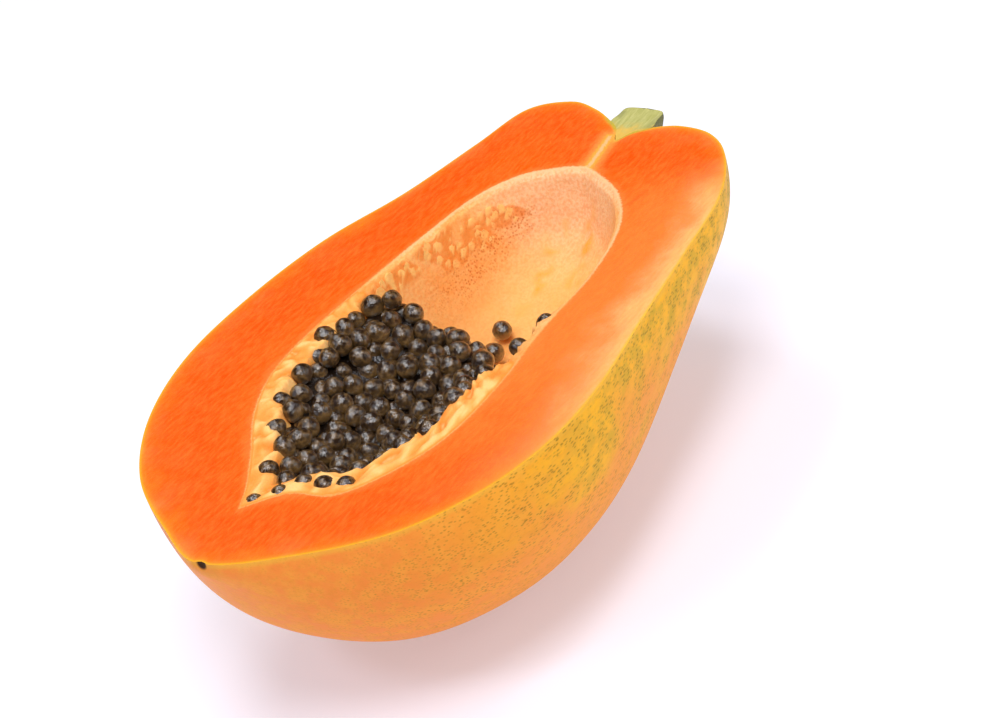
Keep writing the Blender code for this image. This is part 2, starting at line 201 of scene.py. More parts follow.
class Cavity:
    """The hollow as seen from above: its rim, and how deep its lining lies below the cut face."""

    def __init__(self, steps=RIM_STEPS):
        left = even_curve(RIM_LEFT, steps, mirrored_ends=False)
        right = even_curve(RIM_RIGHT, steps, mirrored_ends=False)
        self.rim = left + right[-2:0:-1]
        self.centre = Vector(CAVITY_CENTRE)
        spokes = [p - self.centre for p in self.rim]
        angles = [math.atan2(s.y, s.x) for s in spokes]
        order = np.argsort(angles)
        self.angles = np.array(angles)[order]
        self.reaches = np.array([s.length for s in spokes])[order]
        self.starts = np.array(self.rim)
        self.runs = np.roll(self.starts, -1, axis=0) - self.starts

    def turn(self, place):
        """The direction of a place from the middle, in radians."""
        spoke = place - self.centre
        return math.atan2(spoke.y, spoke.x)

    def reach(self, place):
        return float(np.interp(self.turn(place), self.angles, self.reaches, period=2 * math.pi))

    def rim_distance(self, place):
        away = np.array(place) - self.starts
        share = np.clip((away * self.runs).sum(1) / (self.runs**2).sum(1), 0.0, 1.0)
        return float(np.sqrt(((away - share[:, None] * self.runs) ** 2).sum(1)).min())

    def inset(self, place):
        if (place - self.centre).length >= self.reach(place):
            return 0.0
        return self.rim_distance(place)

    def thinness(self, place):
        return smoothstep(*SHELF_NARROWS, place.x - SHELF_NARROWS_SKEW * place.y)

    def shelf(self, place):
        wide = mix(SHELF_WIDE_RIGHT, SHELF_WIDE_LEFT, smoothstep(*SHELF_LEFT_TO_RIGHT, place.y))
        return mix(wide, SHELF_THIN, self.thinness(place))

    def bowl(self, place, shelf):
        outward = (place - self.centre).length / (self.reach(place) - shelf)
        return (CAVITY_DEPTH - SHELF_DROP) * math.sqrt(max(0.0, 1 - min(1.0, outward) ** BOWL_POWER))

    def depth(self, place):
        inset = self.inset(place)
        shelf = self.shelf(place)
        if inset <= shelf:
            return SHELF_DROP * inset / shelf
        return SHELF_DROP + min(self.bowl(place, shelf), WALL_SLOPE * (inset - shelf))


cavity = Cavity()
print("cavity depth at its middle, mm:", round(cavity.depth(cavity.centre), 1))

# %% [markdown]
# ## A torn fringe
# The knife has torn the fringe into a ragged edge, and where seeds lie close to the right it hangs over
# the last of them. So the shelf's width strays, by smooth noise that follows the turn round the cavity,
# and the crease between wall and floor is rounded, as nothing soft has a sharp crease.

# %% Stray the shelf, round the crease
TORN = 2.6  # how far the fringe's edge strays
WIDE_STRAY, FINE_STRAY = 9, 24  # waves per radian of turn, near enough
LEDGE_X, LEDGE_RIGHT_OF = ((-18, -8), (8, 16)), -10  # where the fringe overhangs: from and to, softly
LEDGE_WIDTH, LEDGE_STRAY = 1.6, 2.4
CREASE = 7.0


def stretch(value, rise, fall):
    """1 between a soft rise and a soft fall, each given by where it starts and where it ends."""
    return smoothstep(*rise, value) * (1 - smoothstep(*fall, value))


def torn_shelf(place):
    turn = cavity.turn(place)
    stray = noise.noise(Vector((turn * WIDE_STRAY, 1.7, 0)))
    stray += 0.6 * noise.noise(Vector((turn * FINE_STRAY, 4.1, 0)))
    wide = cavity.shelf(place) + TORN * stray * (1 - cavity.thinness(place))
    ledge = stretch(place.x, *LEDGE_X) if place.y < LEDGE_RIGHT_OF else 0.0
    return max(SHELF_THIN, wide + ledge * (LEDGE_WIDTH + LEDGE_STRAY * stray))


def torn_depth(place, inset):
    shelf = torn_shelf(place)
    if inset <= shelf:
        return SHELF_DROP * inset / shelf
    bowl, wall = cavity.bowl(place, shelf), WALL_SLOPE * (inset - shelf)
    blunt = max(0.0, 1 - abs(bowl - wall) / CREASE)
    return SHELF_DROP + max(0.0, min(bowl, wall) - CREASE * blunt**2 / 4 * smoothstep(0, 6, wall))


print("fringe at the right, mm:", [round(torn_shelf(Vector((x, -30))), 1) for x in (-40, -20, 0)])

# %% [markdown]
# ## Folds, knobs and ribs of the lining
# Seeds grow on fat little stalks that stand in rows on the wall. Where the seeds came away, the stalks
# are left as pale knobs, longer than wide. Folds of the torn fringe point inwards. They are made as waves
# that run from the rim inwards, which vary fast along the rim and slowly across it. Knobs come from a
# cell pattern, where each cell gets a round top. One faint rib runs along the cavity's floor towards the
# stem. Numbers below are places and widths on this fruit in millimetres, or angles down the wall.

# %% Relief of the lining
FOLD_SPACING, FOLD_LENGTH, FOLD_HEIGHT = 2.6, 5.0, 1.5
LUMP_LENGTH = 3.4
KNOB_LONG, KNOB_WIDE = 2.9, 2.3
KNOB_HEIGHT = 2.4  # straight up, which is 0.8 mm out of a wall as steep as this
ROW_HEIGHT, RIB_HEIGHT = 0.4, 0.45


def cell_bump(position):
    """1 in the middle of a cell, 0 at its borders."""
    near, _ = noise.voronoi(position, distance_metric="DISTANCE", exponent=2.5)
    return smoothstep(0.0, 0.55, near[1] - near[0])


def bell(value, middle, spread):
    return math.exp(-(((value - middle) / spread) ** 2))


def knob_rows(place, depth, sway):
    """How much a place of the left wall belongs to a row of knobs, 0..1."""
    angle = math.degrees(math.atan2(depth, place.y))
    along_rim = bell(depth, 4.2 + 1.6 * sway, 3.0) * stretch(place.x, (2, 12), (46, 58))
    below = bell(depth, 9.0, 3.4) * bell(place.x, 42, 11.0)
    to_stem = bell(angle, 20 + 6 * sway, 9.0) * stretch(place.x, (46, 54), (65, 71))
    gaps = smoothstep(-0.4, -0.05, noise.noise(Vector((place.x / 7.0, 3.0, depth / 7.0))))
    return max(along_rim, below, to_stem) * gaps if place.y > 0 else 0.0


def lining_relief(place, inset, depth):
    """Height of the relief, and marks from 0 to 1 for the colours, at a place of the lining."""
    spot = Vector((place.x, place.y, depth))
    sway = noise.noise(spot / 9.0)
    edge = torn_shelf(place) + 1.5
    fringe = stretch(inset, (0.0, 0.6), (edge, edge + 4)) * (1 - cavity.thinness(place))
    lengthwise = cavity.turn(place) * 40 + 1.5 * noise.noise(spot / 5.0)
    waves = noise.noise(Vector((lengthwise / FOLD_SPACING, inset / FOLD_LENGTH, sway)))
    lumps = cell_bump(Vector((lengthwise / FOLD_SPACING, inset / LUMP_LENGTH, 2.0)))
    fold = fringe * (0.35 + 0.9 * waves + 0.35 * lumps)
    rows = knob_rows(place, depth, sway)
    knob = rows * cell_bump(Vector((place.x / KNOB_LONG, place.y / KNOB_WIDE, depth / KNOB_LONG)))
    rib_y = 4.8 - 0.07 * (place.x - 52)
    rib = bell(place.y, rib_y, 2.1) * stretch(place.x, (34, 56), (75, 77))
    beside = bell(abs(place.y - rib_y), 5.6, 2.6) * stretch(place.x, (36, 52), (66, 73))
    beside *= smoothstep(-0.25, 0.3, noise.noise(spot / 4.0))
    angle = math.degrees(math.atan2(depth, place.y))
    specks = bell(angle, 31, 11.0) * stretch(place.x, (16, 40), (64, 72)) if place.y > 0 else 0.0
    height = FOLD_HEIGHT * fold + ROW_HEIGHT * rows + KNOB_HEIGHT * knob + RIB_HEIGHT * rib
    height += 0.16 * noise.noise(spot / 1.6) + 0.4 * noise.noise(spot / 4.0) * smoothstep(1, 4, inset)
    height += 0.8 * sway * smoothstep(1, 6, inset)
    marks = {
        "pale": min(1.0, max(0.0, 0.3 * fringe + 0.85 * fold)), "rows": rows, "speck": specks,
        "yellow": min(1.0, max(beside, 0.35 * rows)), "knob": knob}
    return height * smoothstep(0.0, 1.0, inset), marks


print("relief at a knob row, mm:", round(lining_relief(Vector((30, 30)), 3, 3.4)[0], 2))

# %% [markdown]
# ## The fruit's surface
# Skin, flesh and lining grew as one, so they are one closed mesh. It is built from rings of points, and
# a small class keeps its points and faces. Points also keep a few measures, such as the distance from
# the rim, for the colours to follow later.

# %% A mesh that grows ring by ring
SKIN, CUT = 0, 1  # which of the two finishes a face has
DEEP = 40.0  # stands for anywhere far from the skin
MARKS = ("pale", "rows", "speck", "yellow", "knob")
USUAL = {"from_rim": 30.0, "from_skin": 0.0, "along": 0.0, **dict.fromkeys(MARKS, 0.0)}


class Body:
    def __init__(self):
        self.points, self.faces, self.finishes = [], [], []
        self.measures = {name: [] for name in USUAL}

    def point(self, p, **known):
        self.points.append(ORIGIN + MM * p)
        for name, usual in USUAL.items():
            self.measures[name].append(known.get(name, usual))
        return len(self.points) - 1

    def face(self, corners, finish):
        self.faces.append(corners)
        self.finishes.append(finish)

    def band(self, outer, inner):
        """Joins two rings of the cut."""
        for k in range(len(outer)):
            after = (k + 1) % len(outer)
            self.face((outer[k], inner[k], inner[after], outer[after]), CUT)


print("each point keeps", ", ".join(USUAL))

# %% [markdown]
# ## Skin
# The skin is a grid from stem to tip and half way around. Its ridges fade out at both ends, the tip has a
# small nub where the blossom sat, and the fruit's weight presses it flat where it lies on the table.

# %% Rings of the skin
ALONG, AROUND = 240, 104
TIP_X, TIP_NUB, TIP_REACH = -110, 0.9, 3.0


def add_skin(body):
    """Adds the skin and returns its edge along the cut, once around."""
    outlines = [even_curve(side, ALONG) for side in (LEFT_SIDE, RIGHT_SIDE, UNDERSIDE)]
    rings = []
    for row in range(1, ALONG):
        ridge = RIDGE_HEIGHT * math.sin(math.pi * row / ALONG)
        ring = []
        for k in range(AROUND + 1):
            p = turned(outlines, row, math.pi * k / AROUND, ridge)
            tip_away = math.sqrt((p.x - TIP_X) ** 2 + p.y**2 + p.z**2)
            p.x += TIP_NUB * (1 - smoothstep(0, TIP_REACH, tip_away))
            p.z = max(p.z, REST_LEVEL) if 0 < k < AROUND else 0.0
            ring.append(body.point(p, along=row / ALONG))
        rings.append(ring)
    stem_pole = body.point(Vector((outlines[0][0].x, 0, 0)))
    tip_pole = body.point(Vector((outlines[0][-1].x + TIP_NUB, 0, 0)), along=1.0)
    for a, b in zip(rings, rings[1:]):
        for k in range(AROUND):
            body.face((a[k], a[k + 1], b[k + 1], b[k]), SKIN)
    for k in range(AROUND):
        body.face((stem_pole, rings[0][k + 1], rings[0][k]), SKIN)
        body.face((tip_pole, rings[-1][k], rings[-1][k + 1]), SKIN)
    return [stem_pole, *(r[0] for r in rings), tip_pole, *(r[-1] for r in reversed(rings))]


body = Body()
edge = add_skin(body)
print("skin:", len(body.faces), "faces, and", len(edge), "points round the cut")

# %% [markdown]
# ## Cut face and lining
# The knife left the cut face almost flat, with a faint wave. It is filled with rings from the skin's edge
# to the cavity's rim, and more rings run on down the lining to its middle. Rings stand close together
# where the surface turns sharply or a thin line has to show.

# %% Rings of the cut
FACE_RINGS = 26
WAVE_HEIGHT, WAVE_LENGTH = 0.25, 13.0
NEAR_RINGS, NEAR_FIRST, NEAR_STEP = 28, 0.4, 0.45
FAR_RINGS, FAR_CROWD = 44, 0.8
HANG = 0.3  # how far the lining may rise above the cut face


def add_cut_face(body, edge, rim):
    edge_places = [((body.points[i] - ORIGIN) / MM).xy for i in edge]
    outer = edge
    for step in range(1, FACE_RINGS + 1):
        share = 0.5 - 0.5 * math.cos(math.pi * step / FACE_RINGS)
        inner = []
        for at_edge, at_rim in zip(edge_places, rim):
            place = at_edge.lerp(at_rim, share)
            wave = WAVE_HEIGHT * noise.noise(Vector((*place, 0)) / WAVE_LENGTH) * math.sin(math.pi * share)
            pale = 0.4 * (1 - cavity.thinness(place)) if step == FACE_RINGS else 0.0
            inner.append(body.point(
                Vector((*place, wave)), pale=pale,
                from_rim=(place - at_rim).length, from_skin=(place - at_edge).length))
        body.band(outer, inner)
        outer = inner
    return outer


def add_lining(body, outer, rim):
    near = [NEAR_FIRST + NEAR_STEP * k for k in range(NEAR_RINGS)]
    far = [0.5 - 0.5 * math.cos(math.pi * (k / FAR_RINGS) ** FAR_CROWD) for k in range(1, FAR_RINGS)]
    for from_rim, share in [(v, 0.0) for v in near] + [(near[-1], v) for v in far]:
        inner = []
        for at_rim in rim:
            inward = (cavity.centre - at_rim).normalized()
            place = (at_rim + inward * from_rim).lerp(cavity.centre, share)
            inset = cavity.inset(place)
            depth = torn_depth(place, inset)
            height, marks = lining_relief(place, inset, depth)
            level = -max(-HANG, depth - height)
            inner.append(body.point(Vector((*place, level)), from_rim=-inset, from_skin=DEEP, **marks))
        body.band(outer, inner)
        outer = inner
    hub = body.point(Vector((*cavity.centre, -cavity.depth(cavity.centre))), from_rim=-30.0, from_skin=DEEP)
    for k in range(len(outer)):
        body.face((outer[k], hub, outer[(k + 1) % len(outer)]), CUT)


rim = Cavity(ALONG).rim
add_lining(body, add_cut_face(body, edge, rim), rim)
print("with the cut:", len(body.faces), "faces")

# %% Make the fruit
SHARP_FROM = math.radians(55)


def link(name, mesh):
    made = bpy.data.objects.new(name, mesh)
    bpy.context.scene.collection.objects.link(made)
    return made


mesh = bpy.data.meshes.new("papaya_half")
mesh.from_pydata(body.points, [], body.faces)
for name, values in body.measures.items():
    mesh.attributes.new(name, "FLOAT", "POINT").data.foreach_set("value", values)
mesh.polygons.foreach_set("material_index", body.finishes)
mesh.shade_smooth()
mesh.set_sharp_from_angle(angle=SHARP_FROM)
fruit = link("papaya_half", mesh)
print("fruit:", len(mesh.vertices), "points,", sum(len(p.vertices) - 2 for p in mesh.polygons), "triangles")

# %% [markdown]
# ## Seeds
# A papaya seed is an egg of 5.5 to 7 mm in a wet jelly coat, which dries into fine wrinkles. The heap is
# laid out by the same seeded rule as in the solid model, so that every seed sits where its solid sits.
# A second, plainer layer fills the gaps from below.

# %% Where the seeds lie
SEED_WIDTH = 6.5  # of the solid seeds, which are drawn fat so that they join
SEED_SPACING = 5.6
SEED_BED_X = (-87.0, 30.0)
SEED_BED_Y = 36.0
SEED_EDGE_LEFT, SEED_EDGE_RIGHT, SEED_EDGE_TIP = (4.2, 7.0), (8.0, 11.0), 2.0
SEED_LEFT_FROM, SEED_TIP_FROM = -2, (62, 78)
SEED_UNEVEN = 1.3
HEAP_EDGE_DEPTH, HEAP_DISH, HEAP_DISH_REACH = 2.4, 9.0, (7.0, 27.0)
HEAP_FRONT, HEAP_FRONT_BEND, HEAP_FRONT_SLOPE = (9.2, 12.0), 0.022, 2.4
SEED_TRIES, GAP_TRIES = 14000, 5000
GAP_UNDER, GAP_INSET, GAP_TO_UPPER, GAP_SPACING = (2.4, 4.6), 7.0, 4.4, 5.2
RANDOM_SEED = 11


def heap_depth(place):
    dish = HEAP_EDGE_DEPTH + HEAP_DISH * smoothstep(*HEAP_DISH_REACH, cavity.inset(place))
    front = HEAP_FRONT[0] - HEAP_FRONT_BEND * max(0.0, HEAP_FRONT[1] - place.y) ** 2
    return dish + HEAP_FRONT_SLOPE * max(0.0, place.x - front)


def somewhere(draw):
    return Vector((draw.uniform(*SEED_BED_X), draw.uniform(-SEED_BED_Y, SEED_BED_Y)))


def clear(centre, others, distance):
    return all((centre - other).length > distance for other in others)


def seed_places():
    draw = random.Random(RANDOM_SEED)
    kept = []
    for _ in range(SEED_TRIES):
        place = somewhere(draw)
        edge = draw.uniform(*(SEED_EDGE_LEFT if place.y > SEED_LEFT_FROM else SEED_EDGE_RIGHT))
        edge = mix(edge, SEED_EDGE_TIP, smoothstep(*SEED_TIP_FROM, -place.x))
        if cavity.inset(place) < edge:
            continue
        depth = heap_depth(place) + draw.uniform(-SEED_UNEVEN, SEED_UNEVEN)
        if depth > cavity.depth(place) - SEED_WIDTH / 4 and cavity.inset(place) > cavity.shelf(place):
            continue
        centre = Vector((*place, -depth))
        if clear(centre, kept, SEED_SPACING):
            kept.append(centre)
    return kept


def deeper_places(upper):
    """Seeds that peep through the gaps of the upper layer."""
    draw = random.Random(RANDOM_SEED + 5)
    kept = []
    for _ in range(GAP_TRIES):
        place = somewhere(draw)
        depth = heap_depth(place) + draw.uniform(*GAP_UNDER)
        if cavity.inset(place) < GAP_INSET or depth > cavity.depth(place) - 2:
            continue
        centre = Vector((*place, -depth))
        if clear(centre, upper, GAP_TO_UPPER) and clear(centre, kept, GAP_SPACING):
            kept.append(centre)
    return kept


places = seed_places()
gap_places = deeper_places(places)
print(len(places), "seeds in the heap and", len(gap_places), "in its gaps")

# %% [markdown]
# ## One egg for all seeds
# One round egg is made once and copied with its own size, turn and tone, and noise gives each copy its
# own dents. All copies of a heap are one mesh, which is much lighter to handle than a hundred pieces.

# %% Copy the egg
EGG_WIDTH, EGG_LENGTH, EGG_SPREAD = 5.8, 6.7, 0.10
EGG_TAPER, EGG_BLUNT = 0.12, 0.05
DENT, CREASE_HEIGHT = 0.05, 0.035


def egg_points(fineness):
    bm = bmesh.new()
    bmesh.ops.create_icosphere(bm, subdivisions=fineness, radius=1)
    for v in bm.verts:
        taper = 1 - EGG_TAPER * v.co.z - EGG_BLUNT * v.co.z**2
        v.co.x *= taper
        v.co.y *= taper
    points = np.array([v.co for v in bm.verts])
    faces = [tuple(v.index for v in f.verts) for f in bm.faces]
    bm.free()
    return points, faces


def add_object(name, points, faces, tones=()):
    mesh = bpy.data.meshes.new(name)
    mesh.from_pydata([ORIGIN + MM * Vector(p) for p in points], [], faces)
    if len(tones):
        mesh.attributes.new("tone", "FLOAT", "POINT").data.foreach_set("value", tones)
    mesh.shade_smooth()
    return link(name, mesh)


def seed_piece(name, centres, draws, fineness=4):
    egg, egg_faces = egg_points(fineness)
    points, faces, tones = [], [], []
    for centre in centres:
        size = 1 + draws.uniform(-EGG_SPREAD, EGG_SPREAD)
        turn = Euler([draws.uniform(0, 2 * math.pi) for _ in range(3)]).to_matrix()
        half = np.array((EGG_WIDTH, EGG_WIDTH, EGG_LENGTH)) / 2 * size
        moved = (egg * half) @ np.array(turn).T
        tone = draws.uniform(0, 1)
        start = len(points)
        for p in moved:
            spot = Vector(p) / 1.7 + centre
            crease = abs(noise.noise(spot * 1.5)) - 0.2
            swell = 1 + DENT * noise.noise(spot * 0.8) + CREASE_HEIGHT * crease
            points.append(centre + Vector(p) * swell)
        faces.extend(tuple(start + k for k in f) for f in egg_faces)
        tones.extend([tone] * len(moved))
    return add_object(name, points, faces, tones)


heap = seed_piece("heaped_seeds", places, random.Random(RANDOM_SEED + 1))
gap_seeds = seed_piece("gap_seeds", gap_places, random.Random(RANDOM_SEED + 7), 3)
print("heap:", len(heap.data.polygons), "triangles; in the gaps:", len(gap_seeds.data.polygons))

# %% [markdown]
# ## Dark pulp under the seeds, as painted shade
# Under the seeds lies a near-black slab of wet pulp, which only shows as the black of the gaps: its darkness
# is painted shade between the seeds. It is a slab of square cells that follows the heap from below. At its
# edge its corners go into the wall, and cells that would be hidden altogether are left out, so that nothing
# comes through the thin wall from behind.

# %% Lay the pulp
PULP_COLUMNS, PULP_ROWS = 88, 60
PULP_UNDER, PULP_UNEVEN, PULP_LUMP, PULP_DEEPEST = 2.4, 1.1, 3.0, 44.0
PULP_INSET, PULP_ABOVE_FLOOR, PULP_SUNK, PULP_THICK = 6, 0.3, 3.0, 2.0


def pulp_corner(i, j):
    """A corner of the slab's top, and whether it is bare, which means not in the wall or floor."""
    place = Vector((mix(*SEED_BED_X, i / PULP_COLUMNS), mix(-SEED_BED_Y, SEED_BED_Y, j / PULP_ROWS)))
    depth = heap_depth(place) + PULP_UNDER + PULP_UNEVEN * noise.noise(Vector((*place, 0)) / PULP_LUMP)
    depth = min(depth, PULP_DEEPEST)
    inset = cavity.inset(place)
    floor_depth = torn_depth(place, inset) if inset > 0 else 0.0
    bare = inset >= PULP_INSET and depth <= floor_depth + PULP_ABOVE_FLOOR
    return (*place, -(depth if bare else floor_depth + PULP_SUNK)), bare


def pulp_piece():
    step = PULP_ROWS + 1
    corners = [pulp_corner(i, j) for i in range(PULP_COLUMNS + 1) for j in range(step)]
    points = [c for c, _ in corners] + [(x, y, z - PULP_THICK) for (x, y, z), _ in corners]
    under = len(corners)
    cells = {(i, j): (i * step + j, (i + 1) * step + j, (i + 1) * step + j + 1, i * step + j + 1)
             for i in range(PULP_COLUMNS) for j in range(PULP_ROWS)}
    kept = {cell for cell, around in cells.items() if any(corners[c][1] for c in around)}
    faces = []
    for i, j in sorted(kept):
        a, b, c, d = cells[i, j]
        faces.append((a, b, c, d))
        faces.append((d + under, c + under, b + under, a + under))
        sides = (a, b, (i, j - 1)), (b, c, (i + 1, j)), (c, d, (i, j + 1)), (d, a, (i - 1, j))
        for first, second, beside in sides:
            if beside not in kept:
                faces.append((first, first + under, second + under, second))
    used = sorted({k for face in faces for k in face})
    number = {k: n for n, k in enumerate(used)}
    return add_object(
        "seed_pulp_gap_shade", [points[k] for k in used], [tuple(number[k] for k in face) for face in faces])


pulp = pulp_piece()
print("pulp:", len(pulp.data.polygons), "faces")

# %% [markdown]
# ## Lone seeds
# Four seeds lie apart from the heap, and each is a piece of its own. Two lie on the lining where their
# solids lie. Two stick in the torn fringe, half in, where the knife pushed them.

# %% Place the lone seeds
LONE_SINK = 0.4  # the lone seeds' solids are fatter, so the thinner seeds sit a little lower
WALL_SEEDS = ((-4.4, -28.4, -3.8), (7.4, -29.2, -4.2))

lone = []
for number in (1, 2):
    low, high = [Vector(c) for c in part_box(f"stray_seed_{number}")]
    lone.append(((low + high) / 2 - ORIGIN) / MM - Vector((0, 0, LONE_SINK)))
lone.extend(Vector(centre) for centre in WALL_SEEDS)
single = [seed_piece(f"lone_seed_{k}", [c], random.Random(40 + k)) for k, c in enumerate(lone, start=1)]
print("lone seeds:", [piece.name for piece in single])

# %% [markdown]
# ## Stalk
# The stalk was snapped off short and then halved by the knife. Its root narrows into the pit between
# the shoulders. The underside is a turned grid with long fibres standing up as ribs, and the flat cut is
# a second grid between both sides.

# %% Build the stalk
STEM_LEFT = ((92.4, 0), (98.6, 4.2), (102.5, 8.2), (106.6, 7.8), (110.4, 7.0), (110.6, 0))
STEM_RIGHT = ((92.4, 0), (97.2, 3.4), (100.2, 7.6), (104.6, 7.2), (109.0, 6.4), (110.6, 0))
STEM_ALONG, STEM_AROUND, STEM_ACROSS = 56, 40, 20
STEM_RIBS, STEM_RIB_HEIGHT, STEM_ROUGH, STEM_HOLLOW = 11, 0.03, 0.02, 0.3
STEM_SHARP_FROM = math.radians(50)


def stalk_ring(sides, row):
    ring = []
    for k in range(STEM_AROUND + 1):
        angle = math.pi * k / STEM_AROUND
        p = turned(sides, row, angle)
        rib = STEM_RIB_HEIGHT * math.sin(STEM_RIBS * angle) + STEM_ROUGH * noise.noise(p / 1.5)
        rib = 1 + rib * math.sin(angle)
        ring.append(Vector((p.x, p.y * rib, p.z * rib)))
    return ring


def stalk_cut(start, end):
    line = []
    for k in range(STEM_ACROSS + 1):
        share = k / STEM_ACROSS
        p = start.lerp(end, share)
        uneven = 0.5 + noise.noise(Vector((p.x / 4, p.y, 0)))
        p.z = -STEM_HOLLOW * math.sin(math.pi * share) * uneven
        line.append(p)
    return line


def build_stalk():
    left, right = [even_curve(side, STEM_ALONG, mirrored_ends=False) for side in (STEM_LEFT, STEM_RIGHT)]
    under = [stalk_ring((left, right, right), row) for row in range(STEM_ALONG + 1)]
    top = [stalk_cut(ring[0], ring[-1]) for ring in under]
    bm = bmesh.new()
    for lines in (under, top):
        grid = [[bm.verts.new(p) for p in line] for line in lines]
        for a, b in zip(grid, grid[1:]):
            for k in range(len(a) - 1):
                bm.faces.new((a[k], b[k], b[k + 1], a[k + 1]))
    bmesh.ops.remove_doubles(bm, verts=bm.verts, dist=0.001)
    bmesh.ops.recalc_face_normals(bm, faces=bm.faces)
    for v in bm.verts:
        v.co = ORIGIN + MM * v.co
    mesh = bpy.data.meshes.new("stalk")
    bm.to_mesh(mesh)
    bm.free()
    mesh.shade_smooth()
    mesh.set_sharp_from_angle(angle=STEM_SHARP_FROM)
    return link("stalk", mesh)


stalk = build_stalk()
print("stalk:", len(stalk.data.polygons), "faces")

# %% [markdown]
# ## One helper for materials
# Every finish below is a tree of shader nodes. One small function adds a node with its settings and
# links. It takes inputs by name, or in the order in which the node shows them. Hex colours, as on a
# paint card, are turned into the linear values that light works with.

# %% Add a node, read a colour
SOFT = {"interpolation_type": "SMOOTHSTEP"}  # carries a value from one range to another, with soft ends
PRODUCT, SUM, SIZE = {"operation": "MULTIPLY"}, {"operation": "ADD"}, {"operation": "ABSOLUTE"}
LESS, LARGER = {"operation": "SUBTRACT"}, {"operation": "MAXIMUM"}
APART, LENGTH_ALONG = {"operation": "DISTANCE"}, {"operation": "DOT_PRODUCT"}
COLOURS = {"data_type": "RGBA"}


def linear(code):
    """An sRGB hex colour as linear red, green, blue and alpha."""
    parts = [int(code[k:k + 2], 16) / 255 for k in (0, 2, 4)]
    return (*[c / 12.92 if c <= 0.04045 else ((c + 0.055) / 1.055) ** 2.4 for c in parts], 1.0)


def feed(tree, node, inputs):
    """Gives a node its values, hex colours and links, by name or in the order of its open sockets."""
    open_sockets = [socket for socket in node.inputs if socket.enabled]
    for key, value in inputs.items() if isinstance(inputs, dict) else enumerate(inputs):
        socket = node.inputs[key] if isinstance(key, str) else open_sockets[key]
        if isinstance(value, bpy.types.NodeSocket):
            tree.links.new(value, socket)
        else:
            socket.default_value = linear(value) if isinstance(value, str) else value


def add(tree, kind, inputs=(), stops=(), out=0, **settings):
    """Adds a node and returns one of its outputs. Stops are a colour ramp's (place, hex)."""
    made = tree.nodes.new("ShaderNode" + kind)
    for key, value in settings.items():
        setattr(made, key, value)
    feed(tree, made, inputs)
    for k, (place, code) in enumerate(stops):
        stop = made.color_ramp.elements[k] if k < 2 else made.color_ramp.elements.new(place)
        stop.position, stop.color = place, linear(code)
    if isinstance(out, str):
        return made.outputs[out]
    return [socket for socket in made.outputs if socket.enabled][out]


def new_material(name):
    made = bpy.data.materials.new(name)
    made.use_nodes = True
    return made, made.node_tree, made.node_tree.nodes["Principled BSDF"]


print("flesh red in linear light:", [round(v, 3) for v in linear("F04C07")])

# %% [markdown]
# ## Tints and borders that several finishes share
# Ripe fruit has no hard borders. A tint comes up softly as some value passes from a start to an end, such
# as the depth under the skin, and noise makes the value stray so that the border is ragged. Places are in
# the fruit's own frame in millimetres, because colours follow how the fruit grew.

# %% Place, tint, overlap and stray
NOISE_LOW, NOISE_HIGH = 0.3, 0.7  # a noise seldom leaves this range


def fruit_frame(tree):
    """A point's place in the fruit's own frame, in millimetres."""
    moved = add(tree, "VectorMath", (add(tree, "TexCoord", out="Object"), tuple(ORIGIN)), **LESS)
    return add(tree, "VectorMath", (moved, (1 / MM, 1 / MM, 1 / MM)), **PRODUCT)


def tint(tree, colour, over, value, start, end, strength=1.0):
    """Lays a second colour over the first, from none at the value's start to full strength at its end."""
    share = add(tree, "MapRange", (value, start, end, 0.0, strength), **SOFT)
    return add(tree, "Mix", (share, colour, over), **COLOURS)


def overlap(tree, *ranges):
    """Where two ranges overlap. Each is a value with its start and end, and how low and high it gets."""
    return add(tree, "Math", [add(tree, "MapRange", numbers, **SOFT) for numbers in ranges], **PRODUCT)


def stray(tree, value, pattern, far):
    """A value that a noise moves up and down, by so much at the most."""
    shift = add(tree, "MapRange", (pattern, NOISE_LOW, NOISE_HIGH, -far, far), **SOFT)
    return add(tree, "Math", (value, shift), **SUM)


def from_line(tree, place, start, end):
    """Distance in millimetres from a straight line between two places on the cut face."""
    start, end = Vector((*start, 0)), Vector((*end, 0))
    along = (end - start).normalized()
    across = Vector((-along.y, along.x, 0))
    moved = add(tree, "VectorMath", (place, tuple(start)), **LESS)
    run, side = [add(tree, "VectorMath", (moved, tuple(way)), **LENGTH_ALONG) for way in (along, across)]
    beyond = add(tree, "Math", (run, (end - start).length), **LESS)
    past = add(tree, "Math", (beyond, add(tree, "Math", (run, -1.0), **PRODUCT)), **LARGER)
    return add(tree, "Math", (add(tree, "Math", (side,), **SIZE), past), **LARGER)


print("shared helpers ready")

# %% [markdown]
# ## Cut papaya flesh
# Ripe flesh is wet and lets light in a few millimetres, so it glows rather than shines. It is deep
# orange red on the left and at the blossom end, and paler towards the right, with a peach zone and a thin
# yellow line at the skin. Its cells are about a millimetre, drawn at 1.5 mm and in fine streaks so that
# they show. A strand of vessels runs from the stalk to the cavity, pale with yellow sides.

# %% Flesh
PIT = (100.0, 2.0, 0.0)  # where the stalk grew
LINES = (  # ends of each line, then its tints from wide to narrow: reach in mm from and to, strength, colour
    ((94.0, 3.2), (78.2, 0.4), (
        (5.5, 1.0, 0.75, "FB9A48"), (2.2, 0.9, 0.8, "F9A63E"), (0.9, 0.3, 1.0, "FDB478"))),
    ((60.5, -24.8), (67.6, -26.0), ((1.1, 0.2, 0.55, "EE5C1C"),)),
)


